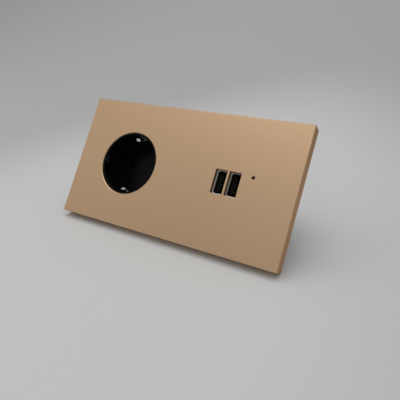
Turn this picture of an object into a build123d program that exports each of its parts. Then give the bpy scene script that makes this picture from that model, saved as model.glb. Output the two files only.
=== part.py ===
from build123d import *
import math
import os

# A flush wall outlet for two boxes side by side: an earthed two-pin mains socket on the left and a twin USB
# charger on the right, behind one thick metal cover that shows no screws.
#
# Frame: millimetres, +Z up, +X to the right as seen from the room, -Y out of the wall towards the room.
# The origin lies on the wall's surface, midway between the two boxes. What is in front of the wall has a
# negative Y, and what sinks into the boxes has a positive one. A "depth" below is always such a Y.

os.makedirs("parts", exist_ok=True)

# Cover
cover_margin = 3.3  # between the frames and the inside of its rim, above and below
cover_thickness = 8.0  # from the wall to the front face
cover_skin = 2.6  # the front wall, in front of the milled pocket
cover_rim = 2.2  # the four side walls
cover_corner = 0.5
cover_edge_break = 0.3
pocket_corner = 3.0
hole_edge_break = 0.4
slot_edge_break = 0.15

# Boxes and frames
gang_pitch = 71.0  # between the centres of two wall boxes
box_screw_pitch = 60.0  # between opposite fixing screws of one box
frame_seam = 0.4  # between the two frames
frame_edge = 2.9  # of sheet outside each fixing slot
frame_sheet = 1.2
frame_corner = 3.0
box_slot_radius = 2.1
box_slot_length = 8.0
hook_height = 17.0  # of the two dovetails that tie the frames together, above and below the middle
hook_root = 6.0
hook_tip = 8.0
hook_reach = 3.0
hook_gap = 0.2

# Cover clips and studs
clip_inset = 6.0  # from the frames' outer corners
clip_strip = 0.35
clip_width = 5.0
clip_foot = 5.2
clip_lead = 2.3  # half the mouth that takes the stud
clip_height = 3.0
clip_gap = 0.05
stud_radius = 1.6
stud_neck_radius = 1.2
stud_tip_gap = 0.2
stud_seat = 1.8
boss_radius = 4.0
boss_height = 0.6

# Well of the mains socket
well_radius = 19.2
well_depth = 17.5
well_wall = 0.95
well_recess = 0.6  # of its rim behind the cover's face
well_floor = 2.4
well_gap = 0.25  # around it, in the cover's hole
rim_edge = 0.25
guide_rib_width = 4.8
guide_rib_height = 1.9
guide_rib_recess = 0.8
pin_pitch = 19.0
pin_hole_radius = 2.9
pin_hole_lead = 0.4
earth_slot_width = 5.4
earth_slot_front = 1.2  # of wall left in front of each earth slot

# Flanges and bodies that both modules share
flange_overhang = 1.5  # past the body on every side
flange_thickness = 1.6
flange_corner = 3.0
base_side_wall = 3.2
base_top_wall = 2.2
body_corner = 3.0
tail_step_x = 1.5  # from the body's front half to its rear half, each side
tail_step_z = 2.5
tail_corner = 2.5
shoulder_wall = 1.2  # behind the slot for the earth strap
moulded_wall = 1.6
moulded_edge = 0.4
module_gap = 0.15

# Module screws
screw_inset_x = 3.9  # from the body's sides
screw_inset_z = 3.7
screw_radius = 1.05
screw_hole_gap = 0.05
screw_clear_radius = 1.6
screw_head_radius = 2.3
screw_head_height = 1.5
screw_length = 13.0
screw_recess = 0.6
post_radius = 2.6

# Shutter, its spring and the inner cover behind it
shutter_thickness = 2.4
shutter_gap = 0.25
shutter_side = 0.6  # beside each pin hole
shutter_travel = 6.4
shutter_margin = 1.1
ramp_floor = 0.6
rail_width = 1.2
peg_radius = 0.7
peg_length = 1.6
spring_radius = 1.15
spring_wire = 0.22
spring_turns = 5
spring_length = 11.6
stop_thickness = 1.6
stop_width = 4.0
inner_cover_thickness = 1.0

# Pin contacts
contact_sheet = 0.6
contact_bore = 2.35
contact_length = 12.2
contact_slit = 0.9
contact_fingers = 7.5
contact_play = 0.9  # of the chamber round the fingers
contact_seat = 0.1  # of the chamber round the tube's root, and at both ends
clamp_plate = 0.8
clamp_plate_width = 10.6
clamp_plate_length = 8.0
clamp_plate_height = 6.8  # below the pins
web_width = 3.2

# Terminals of the mains socket
terminal_pitch = 14.6
terminal_width = 11.6
terminal_roof = 0.1  # of room over each clamping plate
wire_window = 3.4
wire_pitch = 5.4
wire_drop = 2.7  # of the windows' middle below the clamping plates
leaf = 0.4
leaf_width = 8.6
leaf_bend = 1.15
leaf_room = 3.8  # between its bend and the rear wall
leaf_tail = 4.2
leaf_tip_run = 4.2
leaf_gap = 0.1

# Release buttons
button_width = 7.0
button_height = 3.2
button_sill = 1.2  # of wall under each button
button_proud = 0.8
button_travel = 1.2
button_gap = 0.2
button_flange = 0.7
button_flange_thickness = 1.1
button_nose = 0.7
button_nose_length = 1.5

# Earth strap
strap_sheet = 0.7
strap_width = 2.8
strap_gap = 0.15
strap_contact = 15.3  # half the gap between the two contacts in the well
strap_contact_depth = 4.4  # behind the cover's face
strap_curl = 1.3
strap_curl_out = 1.9
strap_bend = 0.9
strap_cross = 0.55  # behind the inner cover

# USB ports
port_pitch = 8.75
port_offset = -1.05  # of the pair's middle from the box's middle
port_opening_width = 7.4
port_opening_height = 14.4
port_opening_corner = 0.5
port_width = 5.7
port_height = 13.1
port_corner = 0.6
port_sheet = 0.3
port_length = 14.0
port_recess = 1.8
port_lip = 0.5  # of flare all round the shell's mouth
port_lip_depth = 0.9
port_gap = 0.1
latch_width = 2.0
latch_length = 2.4
latch_spread = 5.6
latch_setback = 5.2
tongue_thickness = 1.84
tongue_height = 11.1
tongue_offset = -0.8
tongue_recess = 1.5
tongue_block = 2.4
pad_width = 1.0
pad_thickness = 0.3
pad_sunk = 0.15
pad_inner = 1.0
pad_outer = 3.5
pad_recess = 0.8
pad_tail = 2.2
leg_width = 1.8
leg_length = 2.2

# Pilot light
light_offset_x = 14.2
light_height = 5.9
light_hole_radius = 1.0
light_gap = 0.15
light_recess = 1.3
light_stem_radius = 1.2
light_collar_radius = 2.0
light_collar_thickness = 1.0
light_room = 0.9  # beside its collar
led_length = 2.0
led_width = 1.25
led_thickness = 0.9

# Charger's front moulding and boards
port_room = 5.45  # above and below the ports
pad_corner = 2.0
skin_gap = 0.2
charger_front_wall = 1.8
skirt_corner = 2.0
skirt_wall = 1.5
skirt_step = 2.5  # above and below the raised pad
skirt_gap_x = 1.9  # between the skirt and the charger's body
skirt_gap_z = 4.9
port_board_thickness = 1.2
port_board_inset = 0.5
board_spacing = 6.2
power_board_thickness = 1.4
power_board_gap = 0.2
board_notch_gap = 2.5
board_screw_radius = 0.95
board_screw_head = 1.8
board_screw_head_height = 1.1
board_screw_length = 5.0
board_post_radius = 2.1
board_post_gap = 0.3
port_post_inset = 1.6
port_post_drop = 0.8
power_post_z = 10.6

# Charger's components
transformer_width = 13.0
transformer_height = 12.4
transformer_rise = 9.6
transformer_x = -8.8
transformer_z = 6.0
core_leg = 2.6
core_back = 2.4
winding_gap = 0.1
input_cap_radius = 4.0
input_cap_length = 9.4
input_cap_x = 7.5
input_cap_z = 9.5
output_cap_radius = 3.1
output_cap_length = 8.0
output_cap_x = 14.5
output_cap_z = -1.2
output_cap_pitch = 7.2
component_gap = 1.4  # behind the tallest component
cap_edge = 0.4
choke_radius = 3.0
choke_length = 5.0
choke_x = -14.6
choke_z = -8.2
fuse_radius = 1.5
fuse_length = 6.0
fuse_x = 4.4
fuse_z = 0.6
rectifier_size = (5.0, 4.6, 2.2)
rectifier_x = -8.0
rectifier_z = -9.0
chip_size = (5.0, 4.0, 1.6)
chip_x = 8.0
chip_z = -8.0
link_pins = 4
link_pitch = 2.0
link_width = 2.2
link_pin = 0.6
link_z = -9.3

# Charger's screw terminals
block_width = 16.0
block_height = 8.0
block_gap = 0.25
block_recess = 0.2
pole_pitch = 8.0
cage_size = 5.0
cage_wall = 0.8
cage_length = 5.6
pole_screw_radius = 1.25
pole_screw_head = 1.9
pole_screw_head_height = 1.6
pole_screw_length = 6.2
pole_screw_slot = 0.6
pole_screw_access = 2.1
vent_width = 1.2
vent_length = 9.0
vent_pitch = 3.4
vent_count = 5

# Places that follow from the sizes above
socket_x = -gang_pitch / 2
charger_x = gang_pitch / 2
frame_width = gang_pitch - frame_seam
frame_height = box_screw_pitch + 2 * (box_slot_radius + frame_edge)
cover_height = frame_height + 2 * (cover_margin + cover_rim)
cover_width = gang_pitch + cover_height
face_depth = -cover_thickness
skin_depth = face_depth + cover_skin
frame_front = -frame_sheet
flange_front = frame_front - flange_thickness
clip_x = (gang_pitch + frame_width) / 2 - clip_inset
clip_z = frame_height / 2 - clip_inset
clip_places = [(sx * clip_x, 0, sz * clip_z) for sx in (-1, 1) for sz in (-1, 1)]

collar_radius = well_radius + well_wall
collar_front = face_depth + well_recess
floor_front = collar_front + well_depth
floor_back = floor_front + well_floor
shutter_front = floor_back + shutter_gap
shutter_back = shutter_front + shutter_thickness
shutter_width = pin_pitch + 2 * (pin_hole_radius + shutter_side)
inner_cover_front = shutter_back + shutter_gap
inner_cover_back = inner_cover_front + inner_cover_thickness
strap_depth = inner_cover_back + strap_cross + strap_sheet / 2
strap_slot_back = strap_depth + strap_sheet
socket_shoulder = strap_slot_back + shoulder_wall
contact_front = inner_cover_back + contact_seat
contact_back = contact_front + contact_length
tail_wall_front = contact_back + contact_seat
socket_depth = tail_wall_front + moulded_wall
bore_radius = collar_radius + module_gap
socket_width = 2 * (bore_radius + base_side_wall)
socket_height = 2 * (bore_radius + base_top_wall)

port_places = [(charger_x + port_offset + s * port_pitch / 2, 0) for s in (-1, 1)]
light_place = (charger_x + light_offset_x, light_height)
port_front = face_depth + port_recess
port_back = port_front + port_length
board_front = port_back + port_gap
board_back = board_front + port_board_thickness
power_board_front = board_back + board_spacing
power_board_back = power_board_front + power_board_thickness
charger_shoulder = power_board_back + moulded_wall
charger_depth = power_board_back + transformer_rise + component_gap + moulded_wall
cavity_width = 2 * (light_offset_x + light_collar_radius + light_room)
cavity_height = port_height + 2 * port_room
pad_area_width = cavity_width + 2 * skirt_wall
pad_area_height = cavity_height + 2 * skirt_wall
skirt_width = pad_area_width + 2 * skirt_wall
skirt_height = pad_area_height + 2 * skirt_step
charger_width = skirt_width + 2 * (skirt_gap_x + moulded_wall)
charger_height = skirt_height + 2 * (skirt_gap_z + moulded_wall)


def screw_places(width, height):
    """The four screws of a module whose body has this width and height, from its middle."""
    x = width / 2 - screw_inset_x
    z = height / 2 - screw_inset_z
    return [(-x, -z), (-x, z), (x, -z), (x, z)]


socket_screw_places = screw_places(socket_width, socket_height)
charger_screw_places = screw_places(charger_width, charger_height)


def wall_plane(depth):
    """A plane parallel to the wall at this depth. Extruding from it by a positive amount comes towards the room."""
    return Plane.XZ.offset(-depth)


def save(piece, name):
    """Names the finished piece and writes it to its own file."""
    piece.part.label = name
    export_step(piece.part, f"parts/{name}.step")


# Cover: one block of aluminium, milled out behind to a thin skin with four bosses for its studs.
pocket_depth = cover_thickness - cover_skin
hole_radius = collar_radius + well_gap
with BuildPart() as cover_plate:
    with BuildSketch(wall_plane(0)):
        RectangleRounded(cover_width, cover_height, cover_corner)
    extrude(amount=cover_thickness)
    chamfer(cover_plate.faces().sort_by(Axis.Y)[0].edges(), cover_edge_break)
    with BuildSketch(wall_plane(0)):
        RectangleRounded(cover_width - 2 * cover_rim, cover_height - 2 * cover_rim, pocket_corner)
    extrude(amount=pocket_depth, mode=Mode.SUBTRACT)
    with BuildSketch(wall_plane(skin_depth)):
        with Locations(*[(x, z) for x, y, z in clip_places]):
            Circle(boss_radius)
    extrude(amount=-boss_height)
    with BuildSketch(wall_plane(skin_depth)):
        with Locations((socket_x, 0)):
            Circle(hole_radius)
    extrude(amount=cover_skin, mode=Mode.SUBTRACT)
    rims = cover_plate.faces().sort_by(Axis.Y)[0].inner_wires()
    chamfer(rims.edges(), hole_edge_break)
    with BuildSketch(wall_plane(skin_depth)):
        with Locations(*port_places):
            RectangleRounded(port_opening_width, port_opening_height, port_opening_corner)
        with Locations(light_place):
            Circle(light_hole_radius)
    extrude(amount=cover_skin, mode=Mode.SUBTRACT)
    openings = cover_plate.faces().sort_by(Axis.Y)[0].inner_wires().sort_by(Axis.X)[1:]
    chamfer([e for w in openings for e in w.edges()], slot_edge_break)
    with BuildSketch(wall_plane(skin_depth + boss_height)):
        with Locations(*[(x, z) for x, y, z in clip_places]):
            Circle(stud_radius)
    extrude(amount=stud_seat, mode=Mode.SUBTRACT)
save(cover_plate, "cover_plate")

# Studs: turned brass, pressed into the cover's bosses, each with a neck that the frame's clips close on.
stud_top = skin_depth + boss_height - stud_seat
stud_tip = frame_front - clip_strip - stud_tip_gap
neck_depth = frame_front - clip_strip / 2 - clip_height / 2
neck_half = 2 * clip_strip
with BuildPart() as one_stud:
    with BuildSketch(wall_plane(stud_tip)):
        Circle(stud_radius)
    extrude(amount=stud_tip - stud_top)
    with BuildSketch(wall_plane(neck_depth + neck_half)):
        Circle(stud_radius)
        Circle(stud_neck_radius, mode=Mode.SUBTRACT)
    extrude(amount=2 * neck_half, mode=Mode.SUBTRACT)
with BuildPart() as cover_studs:
    with Locations(*clip_places):
        add(one_stud.part)
save(cover_studs, "cover_studs")

# Clips: four strips of spring steel on the frames, each bent to a mouth, a throat and a foot.
foot_depth = frame_front - clip_strip / 2
throat = stud_neck_radius + clip_gap + clip_strip / 2
with BuildPart() as one_clip:
    with BuildSketch(Plane.XY.offset(-clip_width / 2)):
        with BuildLine():
            Polyline(
                (-clip_lead, foot_depth - clip_height),
                (-throat, neck_depth),
                (-clip_foot / 2, foot_depth),
                (clip_foot / 2, foot_depth),
                (throat, neck_depth),
                (clip_lead, foot_depth - clip_height),
            )
        trace(line_width=clip_strip)
    extrude(amount=clip_width)
with BuildPart() as cover_clips:
    with Locations(*clip_places):
        add(one_clip.part)
save(cover_clips, "cover_clips")


# Frames: zinc-plated steel, one to a box. They hook into each other, so that the boxes keep their pitch.
frame_cut_radius = collar_radius + 2 * module_gap


def frame_blank(centre_x, screws):
    """The outline of one frame, with slots above and below and round holes at the sides for the box's screws."""
    with Locations((centre_x, 0)):
        RectangleRounded(frame_width, frame_height, frame_corner)
    reach = box_screw_pitch / 2
    with Locations((centre_x, reach), (centre_x, -reach)):
        SlotOverall(box_slot_length, 2 * box_slot_radius, mode=Mode.SUBTRACT)
    with Locations((centre_x + reach, 0), (centre_x - reach, 0)):
        Circle(box_slot_radius, mode=Mode.SUBTRACT)
    with Locations(*[(centre_x + x, z) for x, z in screws]):
        Circle(screw_clear_radius, mode=Mode.SUBTRACT)


def hook_outline(z, grow):
    """The corners of one dovetail at this height, grown by a clearance for the notch that takes it."""
    return [
        (-frame_seam / 2, z - hook_root / 2 - grow),
        (hook_reach + grow, z - hook_tip / 2 - grow),
        (hook_reach + grow, z + hook_tip / 2 + grow),
        (-frame_seam / 2, z + hook_root / 2 + grow),
    ]


with BuildPart() as socket_frame:
    with BuildSketch(wall_plane(0)):
        frame_blank(socket_x, socket_screw_places)
        with Locations((socket_x, 0)):
            Circle(frame_cut_radius, mode=Mode.SUBTRACT)
        for z in (-hook_height, hook_height):
            with BuildLine():
                Polyline(*hook_outline(z, 0), close=True)
            make_face()
    extrude(amount=frame_sheet)
save(socket_frame, "socket_frame")

with BuildPart() as charger_frame:
    with BuildSketch(wall_plane(0)):
        frame_blank(charger_x, charger_screw_places)
        with Locations((charger_x, 0)):
            cut = 2 * module_gap
            RectangleRounded(skirt_width + cut, skirt_height + cut, skirt_corner, mode=Mode.SUBTRACT)
        for z in (-hook_height, hook_height):
            with BuildLine():
                Polyline(*hook_outline(z, hook_gap), close=True)
            make_face(mode=Mode.SUBTRACT)
    extrude(amount=frame_sheet)
save(charger_frame, "charger_frame")

# Well: glossy black moulding that takes the plug, with a guide rib each side and an earth slot above and below.
with BuildPart() as socket_well:
    with BuildSketch(wall_plane(frame_front)):
        with Locations((socket_x, 0)):
            overhang = 2 * flange_overhang
            RectangleRounded(socket_width + overhang, socket_height + overhang, flange_corner)
        with Locations(*[(socket_x + x, z) for x, z in socket_screw_places]):
            Circle(screw_clear_radius, mode=Mode.SUBTRACT)
    extrude(amount=flange_thickness)
    with BuildSketch(wall_plane(floor_back)):
        with Locations((socket_x, 0)):
            Circle(collar_radius)
    extrude(amount=floor_back - collar_front)
    with BuildSketch(wall_plane(floor_front)):
        with Locations((socket_x, 0)):
            Circle(well_radius)
    extrude(amount=well_depth, mode=Mode.SUBTRACT)
    chamfer(socket_well.faces().sort_by(Axis.Y)[0].edges(), rim_edge)
    rib_front = collar_front + guide_rib_recess
    with BuildSketch(wall_plane(floor_front)):
        for side in (-1, 1):
            middle = well_radius - guide_rib_height / 2 + well_wall / 4
            with Locations((socket_x + side * middle, 0)):
                Rectangle(guide_rib_height + well_wall / 2, guide_rib_width)
    extrude(amount=floor_front - rib_front)
    with BuildSketch(wall_plane(floor_back)):
        for side in (-1, 1):
            with Locations((socket_x, side * collar_radius)):
                Rectangle(earth_slot_width, 2 * (collar_radius - well_radius) + 2 * strap_gap)
    extrude(amount=floor_back - collar_front - earth_slot_front, mode=Mode.SUBTRACT)
    with BuildSketch(wall_plane(floor_back)):
        with Locations((socket_x - pin_pitch / 2, 0), (socket_x + pin_pitch / 2, 0)):
            Circle(pin_hole_radius)
    extrude(amount=well_floor, mode=Mode.SUBTRACT)
    round_edges = socket_well.edges().filter_by(GeomType.CIRCLE)
    pin_edges = round_edges.filter_by_position(Axis.Y, floor_front - pin_hole_lead, floor_front + pin_hole_lead)
    chamfer(pin_edges.filter_by(lambda edge: edge.radius == pin_hole_radius), pin_hole_lead)
    with BuildSketch(wall_plane(inner_cover_front)):
        rail_outside = shutter_width / 2 + shutter_gap + rail_width
        for side in (-1, 1):
            with Locations((socket_x + side * (rail_outside - rail_width / 2), 0)):
                Rectangle(rail_width, 2 * math.sqrt(collar_radius**2 - rail_outside**2))
        with Locations((socket_x, shutter_margin + pin_hole_radius + spring_length + stop_thickness / 2)):
            Rectangle(stop_width, stop_thickness)
    extrude(amount=inner_cover_front - floor_back)
save(socket_well, "socket_well")

# Shutter: slides up when two pins press on its ramps together, and a spring brings it back.
shutter_top = pin_hole_radius + shutter_margin
shutter_bottom = -shutter_travel - pin_hole_radius - shutter_margin
ramp_top = pin_hole_radius + shutter_margin / 2
ramp_bottom = -shutter_travel + pin_hole_radius - shutter_margin / 2
spring_depth = (shutter_front + shutter_back) / 2
with BuildPart() as shutter:
    with BuildSketch(wall_plane(shutter_back)):
        with Locations((socket_x, (shutter_top + shutter_bottom) / 2)):
            RectangleRounded(shutter_width, shutter_top - shutter_bottom, shutter_margin)
        with Locations(*[(socket_x + s * pin_pitch / 2, -shutter_travel) for s in (-1, 1)]):
            Circle(pin_hole_radius, mode=Mode.SUBTRACT)
    extrude(amount=shutter_thickness)
    for side in (-1, 1):
        with BuildSketch(Plane.YZ.offset(socket_x + side * pin_pitch / 2 - pin_hole_radius)):
            with BuildLine():
                Polyline(
                    (shutter_front, ramp_top),
                    (shutter_front, ramp_bottom),
                    (shutter_back - ramp_floor, ramp_bottom),
                    close=True,
                )
            make_face()
        extrude(amount=2 * pin_hole_radius, mode=Mode.SUBTRACT)
    with BuildSketch(Plane.XY.offset(shutter_top)):
        with Locations((socket_x, spring_depth)):
            Circle(peg_radius)
    extrude(amount=peg_length)
save(shutter, "shutter")

# Shutter spring: a coil between the shutter's top edge and the stop on the back of the well.
with BuildPart() as shutter_spring:
    coil_height = spring_length - 2 * spring_wire
    with BuildLine():
        coil_foot = (socket_x, spring_depth, shutter_top + spring_wire)
        coil = Helix(coil_height / spring_turns, coil_height, spring_radius, center=coil_foot)
    with BuildSketch(Plane(origin=coil @ 0, z_dir=coil % 0)):
        RegularPolygon(spring_wire, 4)
    sweep(path=coil, is_frenet=True)
save(shutter_spring, "shutter_spring")

# Inner cover: an insulating disc behind the shutter that keeps the contacts in the base.
with BuildPart() as inner_cover:
    with BuildSketch(wall_plane(inner_cover_back)):
        with Locations((socket_x, 0)):
            Circle(collar_radius)
        with Locations(*[(socket_x + s * pin_pitch / 2, 0) for s in (-1, 1)]):
            Circle(pin_hole_radius, mode=Mode.SUBTRACT)
        with Locations((socket_x, collar_radius), (socket_x, -collar_radius)):
            Rectangle(earth_slot_width, 2 * (well_wall + strap_gap), mode=Mode.SUBTRACT)
    extrude(amount=inner_cover_thickness)
save(inner_cover, "inner_cover")

# Base: the socket's moulded body, which carries the contacts and terminals, and takes the cables from behind.
strap_outer = well_radius + strap_gap + strap_sheet
contact_outer = contact_bore + contact_sheet
seat_radius = contact_outer + contact_seat
chamber_radius = contact_outer + contact_play
chamber_back = contact_front + contact_fingers
tail_width = socket_width - 2 * tail_step_x
tail_foot = socket_height / 2 - tail_step_z
tail_head = chamber_radius + moulded_wall
terminal_floor = tail_foot - moulded_wall
terminal_ceiling = clamp_plate_height - clamp_plate / 2 - terminal_roof
terminal_middle = -(terminal_ceiling + terminal_floor) / 2
terminal_columns = (-terminal_pitch, 0, terminal_pitch)
wire_height = clamp_plate_height + wire_drop
button_centre = tail_foot - moulded_wall - button_sill - button_height / 2
socket_screw_end = flange_front + screw_length
with BuildPart() as socket_base:
    with BuildSketch(wall_plane(socket_shoulder)):
        with Locations((socket_x, 0)):
            RectangleRounded(socket_width, socket_height, body_corner)
    extrude(amount=socket_shoulder)
    with BuildSketch(wall_plane(socket_depth)):
        with Locations((socket_x, (tail_head - tail_foot) / 2)):
            RectangleRounded(tail_width, tail_head + tail_foot, tail_corner)
    extrude(amount=socket_depth - socket_shoulder)
    chamfer(socket_base.faces().sort_by(Axis.Y)[-1].edges(), moulded_edge)
    with BuildSketch(wall_plane(inner_cover_back)):
        with Locations((socket_x, 0)):
            Circle(bore_radius)
    extrude(amount=inner_cover_back, mode=Mode.SUBTRACT)
    with BuildSketch(wall_plane(strap_slot_back)):
        with Locations((socket_x, 0)):
            Rectangle(earth_slot_width, 2 * (strap_outer + strap_gap))
    extrude(amount=strap_slot_back - inner_cover_back, mode=Mode.SUBTRACT)
    with BuildSketch(wall_plane(tail_wall_front)):
        for side in (-1, 1):
            with Locations((socket_x + side * pin_pitch / 2, 0)):
                Circle(seat_radius)
            with Locations((socket_x + side * (pin_pitch / 2 + web_width / 2), -clamp_plate_height / 2)):
                Rectangle(web_width + 2 * contact_seat, clamp_plate_height)
        for column in terminal_columns:
            with Locations((socket_x + column, terminal_middle)):
                Rectangle(terminal_width, terminal_floor - terminal_ceiling)
    extrude(amount=tail_wall_front - inner_cover_back, mode=Mode.SUBTRACT)
    with BuildSketch(wall_plane(chamber_back)):
        with Locations((socket_x - pin_pitch / 2, 0), (socket_x + pin_pitch / 2, 0)):
            Circle(chamber_radius)
    extrude(amount=chamber_back - inner_cover_back, mode=Mode.SUBTRACT)
    with BuildSketch(wall_plane(socket_depth)):
        for column in terminal_columns:
            with Locations((socket_x + column, -wire_height)):
                with GridLocations(wire_pitch, 0, 2, 1):
                    Rectangle(wire_window, wire_window)
            with Locations((socket_x + column, -button_centre)):
                Rectangle(button_width + 2 * button_gap, button_height + 2 * button_gap)
    extrude(amount=moulded_wall, mode=Mode.SUBTRACT)
    with BuildSketch(wall_plane(socket_screw_end + screw_recess)):
        with Locations(*[(socket_x + x, z) for x, z in socket_screw_places]):
            Circle(screw_radius + screw_hole_gap)
    extrude(amount=socket_screw_end + screw_recess, mode=Mode.SUBTRACT)
save(socket_base, "socket_base")

# Pin contacts: brass tubes slit into fingers, each with a web down to the plate that the wires are clamped to.
with BuildPart() as live_contact:
    with BuildSketch(wall_plane(contact_back)):
        with Locations((socket_x - pin_pitch / 2, 0)):
            Circle(contact_outer)
            Circle(contact_bore, mode=Mode.SUBTRACT)
        with Locations((socket_x - pin_pitch / 2, contact_outer)):
            Rectangle(contact_slit, contact_outer, mode=Mode.SUBTRACT)
    extrude(amount=contact_length)
    with BuildSketch(wall_plane(contact_front + contact_fingers)):
        with Locations((socket_x - pin_pitch / 2, 0)):
            Rectangle(3 * contact_outer, contact_slit)
    extrude(amount=contact_fingers, mode=Mode.SUBTRACT)
    with BuildSketch(wall_plane(contact_back)):
        web_top = contact_bore + contact_sheet / 2
        with Locations((socket_x - pin_pitch / 2 - web_width / 2, -(web_top + clamp_plate_height) / 2)):
            Rectangle(web_width, clamp_plate_height - web_top)
        with Locations((socket_x - pin_pitch / 2, 0)):
            Circle(contact_bore, mode=Mode.SUBTRACT)
    extrude(amount=clamp_plate)
    with BuildSketch(wall_plane(contact_back)):
        with Locations((socket_x - terminal_pitch, -clamp_plate_height)):
            Rectangle(clamp_plate_width, clamp_plate)
    extrude(amount=clamp_plate_length)
save(live_contact, "live_contact")

with BuildPart() as neutral_contact:
    mirror(live_contact.part, about=Plane.YZ.offset(socket_x))
save(neutral_contact, "neutral_contact")

# Earth strap: one bent strip from the upper earth contact round the back of the well to the lower one.
strap_centre = strap_outer - strap_sheet / 2
contact_depth = face_depth + strap_contact_depth
bend_start = floor_front - (floor_front - contact_depth) / 2.5
strap_upper = [
    (contact_depth - strap_curl, strap_contact + strap_sheet / 2 + strap_curl_out),
    (contact_depth, strap_contact + strap_sheet / 2),
    (bend_start, strap_centre),
    (strap_depth, strap_centre),
]
strap_line = strap_upper + [(y, -z) for y, z in reversed(strap_upper)]
with BuildPart() as earth_strap:
    with BuildSketch(Plane.YZ.offset(socket_x - strap_width / 2)):
        with BuildLine():
            FilletPolyline(*strap_line, radius=strap_bend)
        trace(line_width=strap_sheet)
    extrude(amount=strap_width)
    with BuildSketch(wall_plane(contact_back)):
        with Locations((socket_x, -clamp_plate_height)):
            Rectangle(clamp_plate_width, clamp_plate)
    extrude(amount=contact_back - strap_depth)
save(earth_strap, "earth_strap")

# Clamp springs: bent leaves that push each wire against its plate, one to each pole and the earth.
leaf_floor = -terminal_floor + leaf_gap + leaf / 2
leaf_roof = leaf_floor + 2 * leaf_bend
leaf_back = tail_wall_front - leaf_room
leaf_tip = -clamp_plate_height - clamp_plate / 2 - leaf_gap - leaf / 2
for name, column in zip(("live", "earth", "neutral"), terminal_columns):
    with BuildPart() as clamp_spring:
        with BuildSketch(Plane.YZ.offset(socket_x + column - leaf_width / 2)):
            with BuildLine():
                FilletPolyline(
                    (leaf_back - leaf_tail, leaf_floor),
                    (leaf_back, leaf_floor),
                    (leaf_back, leaf_roof),
                    (leaf_back - leaf_tip_run, leaf_tip),
                    radius=leaf_bend * 3 / 4,
                )
            trace(line_width=leaf)
        extrude(amount=leaf_width)
    save(clamp_spring, f"{name}_clamp_spring")

# Release buttons: pushed in with a screwdriver from behind, each bends its clamp spring and frees the wires.
button_back = socket_depth + button_proud
button_inner = tail_wall_front - module_gap - button_flange_thickness
for name, column in zip(("live", "earth", "neutral"), terminal_columns):
    with BuildPart() as release_button:
        with BuildSketch(wall_plane(button_back)):
            with Locations((socket_x + column, -button_centre)):
                Rectangle(button_width, button_height)
        extrude(amount=button_back - button_inner)
        with BuildSketch(wall_plane(button_inner + button_flange_thickness)):
            with Locations((socket_x + column, -button_centre)):
                Rectangle(button_width + 2 * button_flange, button_height)
        extrude(amount=button_flange_thickness)
        with BuildSketch(wall_plane(button_inner)):
            with Locations((socket_x + column, -button_centre + (button_height - button_nose) / 2)):
                Rectangle(button_width - 2 * button_flange, button_nose)
        extrude(amount=button_nose_length)
        chamfer(release_button.faces().sort_by(Axis.Y)[-1].edges(), button_flange / 2)
    save(release_button, f"{name}_release_button")


# Module screws: pan heads on the flange, four through each module's frame into its body.
def module_screws(centre_x, places):
    """Four screws at these places about a box's middle."""
    with BuildPart() as one_screw:
        with BuildSketch(wall_plane(flange_front)):
            Circle(screw_head_radius)
        extrude(amount=screw_head_height)
        with BuildSketch(wall_plane(flange_front - screw_head_height / 2)):
            Rectangle(screw_head_radius, screw_head_radius / 4)
            Rectangle(screw_head_radius / 4, screw_head_radius)
        extrude(amount=screw_head_height, mode=Mode.SUBTRACT)
        with BuildSketch(wall_plane(flange_front + screw_length)):
            Circle(screw_radius)
        extrude(amount=screw_length)
    with BuildPart() as screws:
        with Locations(*[(centre_x + x, 0, z) for x, z in places]):
            add(one_screw.part)
    return screws


save(module_screws(socket_x, socket_screw_places), "socket_screws")
save(module_screws(charger_x, charger_screw_places), "charger_screws")

# USB ports: a folded steel shell with a flared mouth, round a plastic tongue with four contacts, one set each.
tongue_front = port_front + tongue_recess
tongue_x = tongue_offset + tongue_thickness / 2
pad_heights = (-pad_outer, -pad_inner, pad_inner, pad_outer)
pad_x = tongue_x - pad_sunk + pad_thickness / 2
leg_z = (port_height - port_sheet) / 2
inner_width = port_width - 2 * port_sheet
inner_height = port_height - 2 * port_sheet
lip_foot = port_front + port_lip_depth

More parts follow.
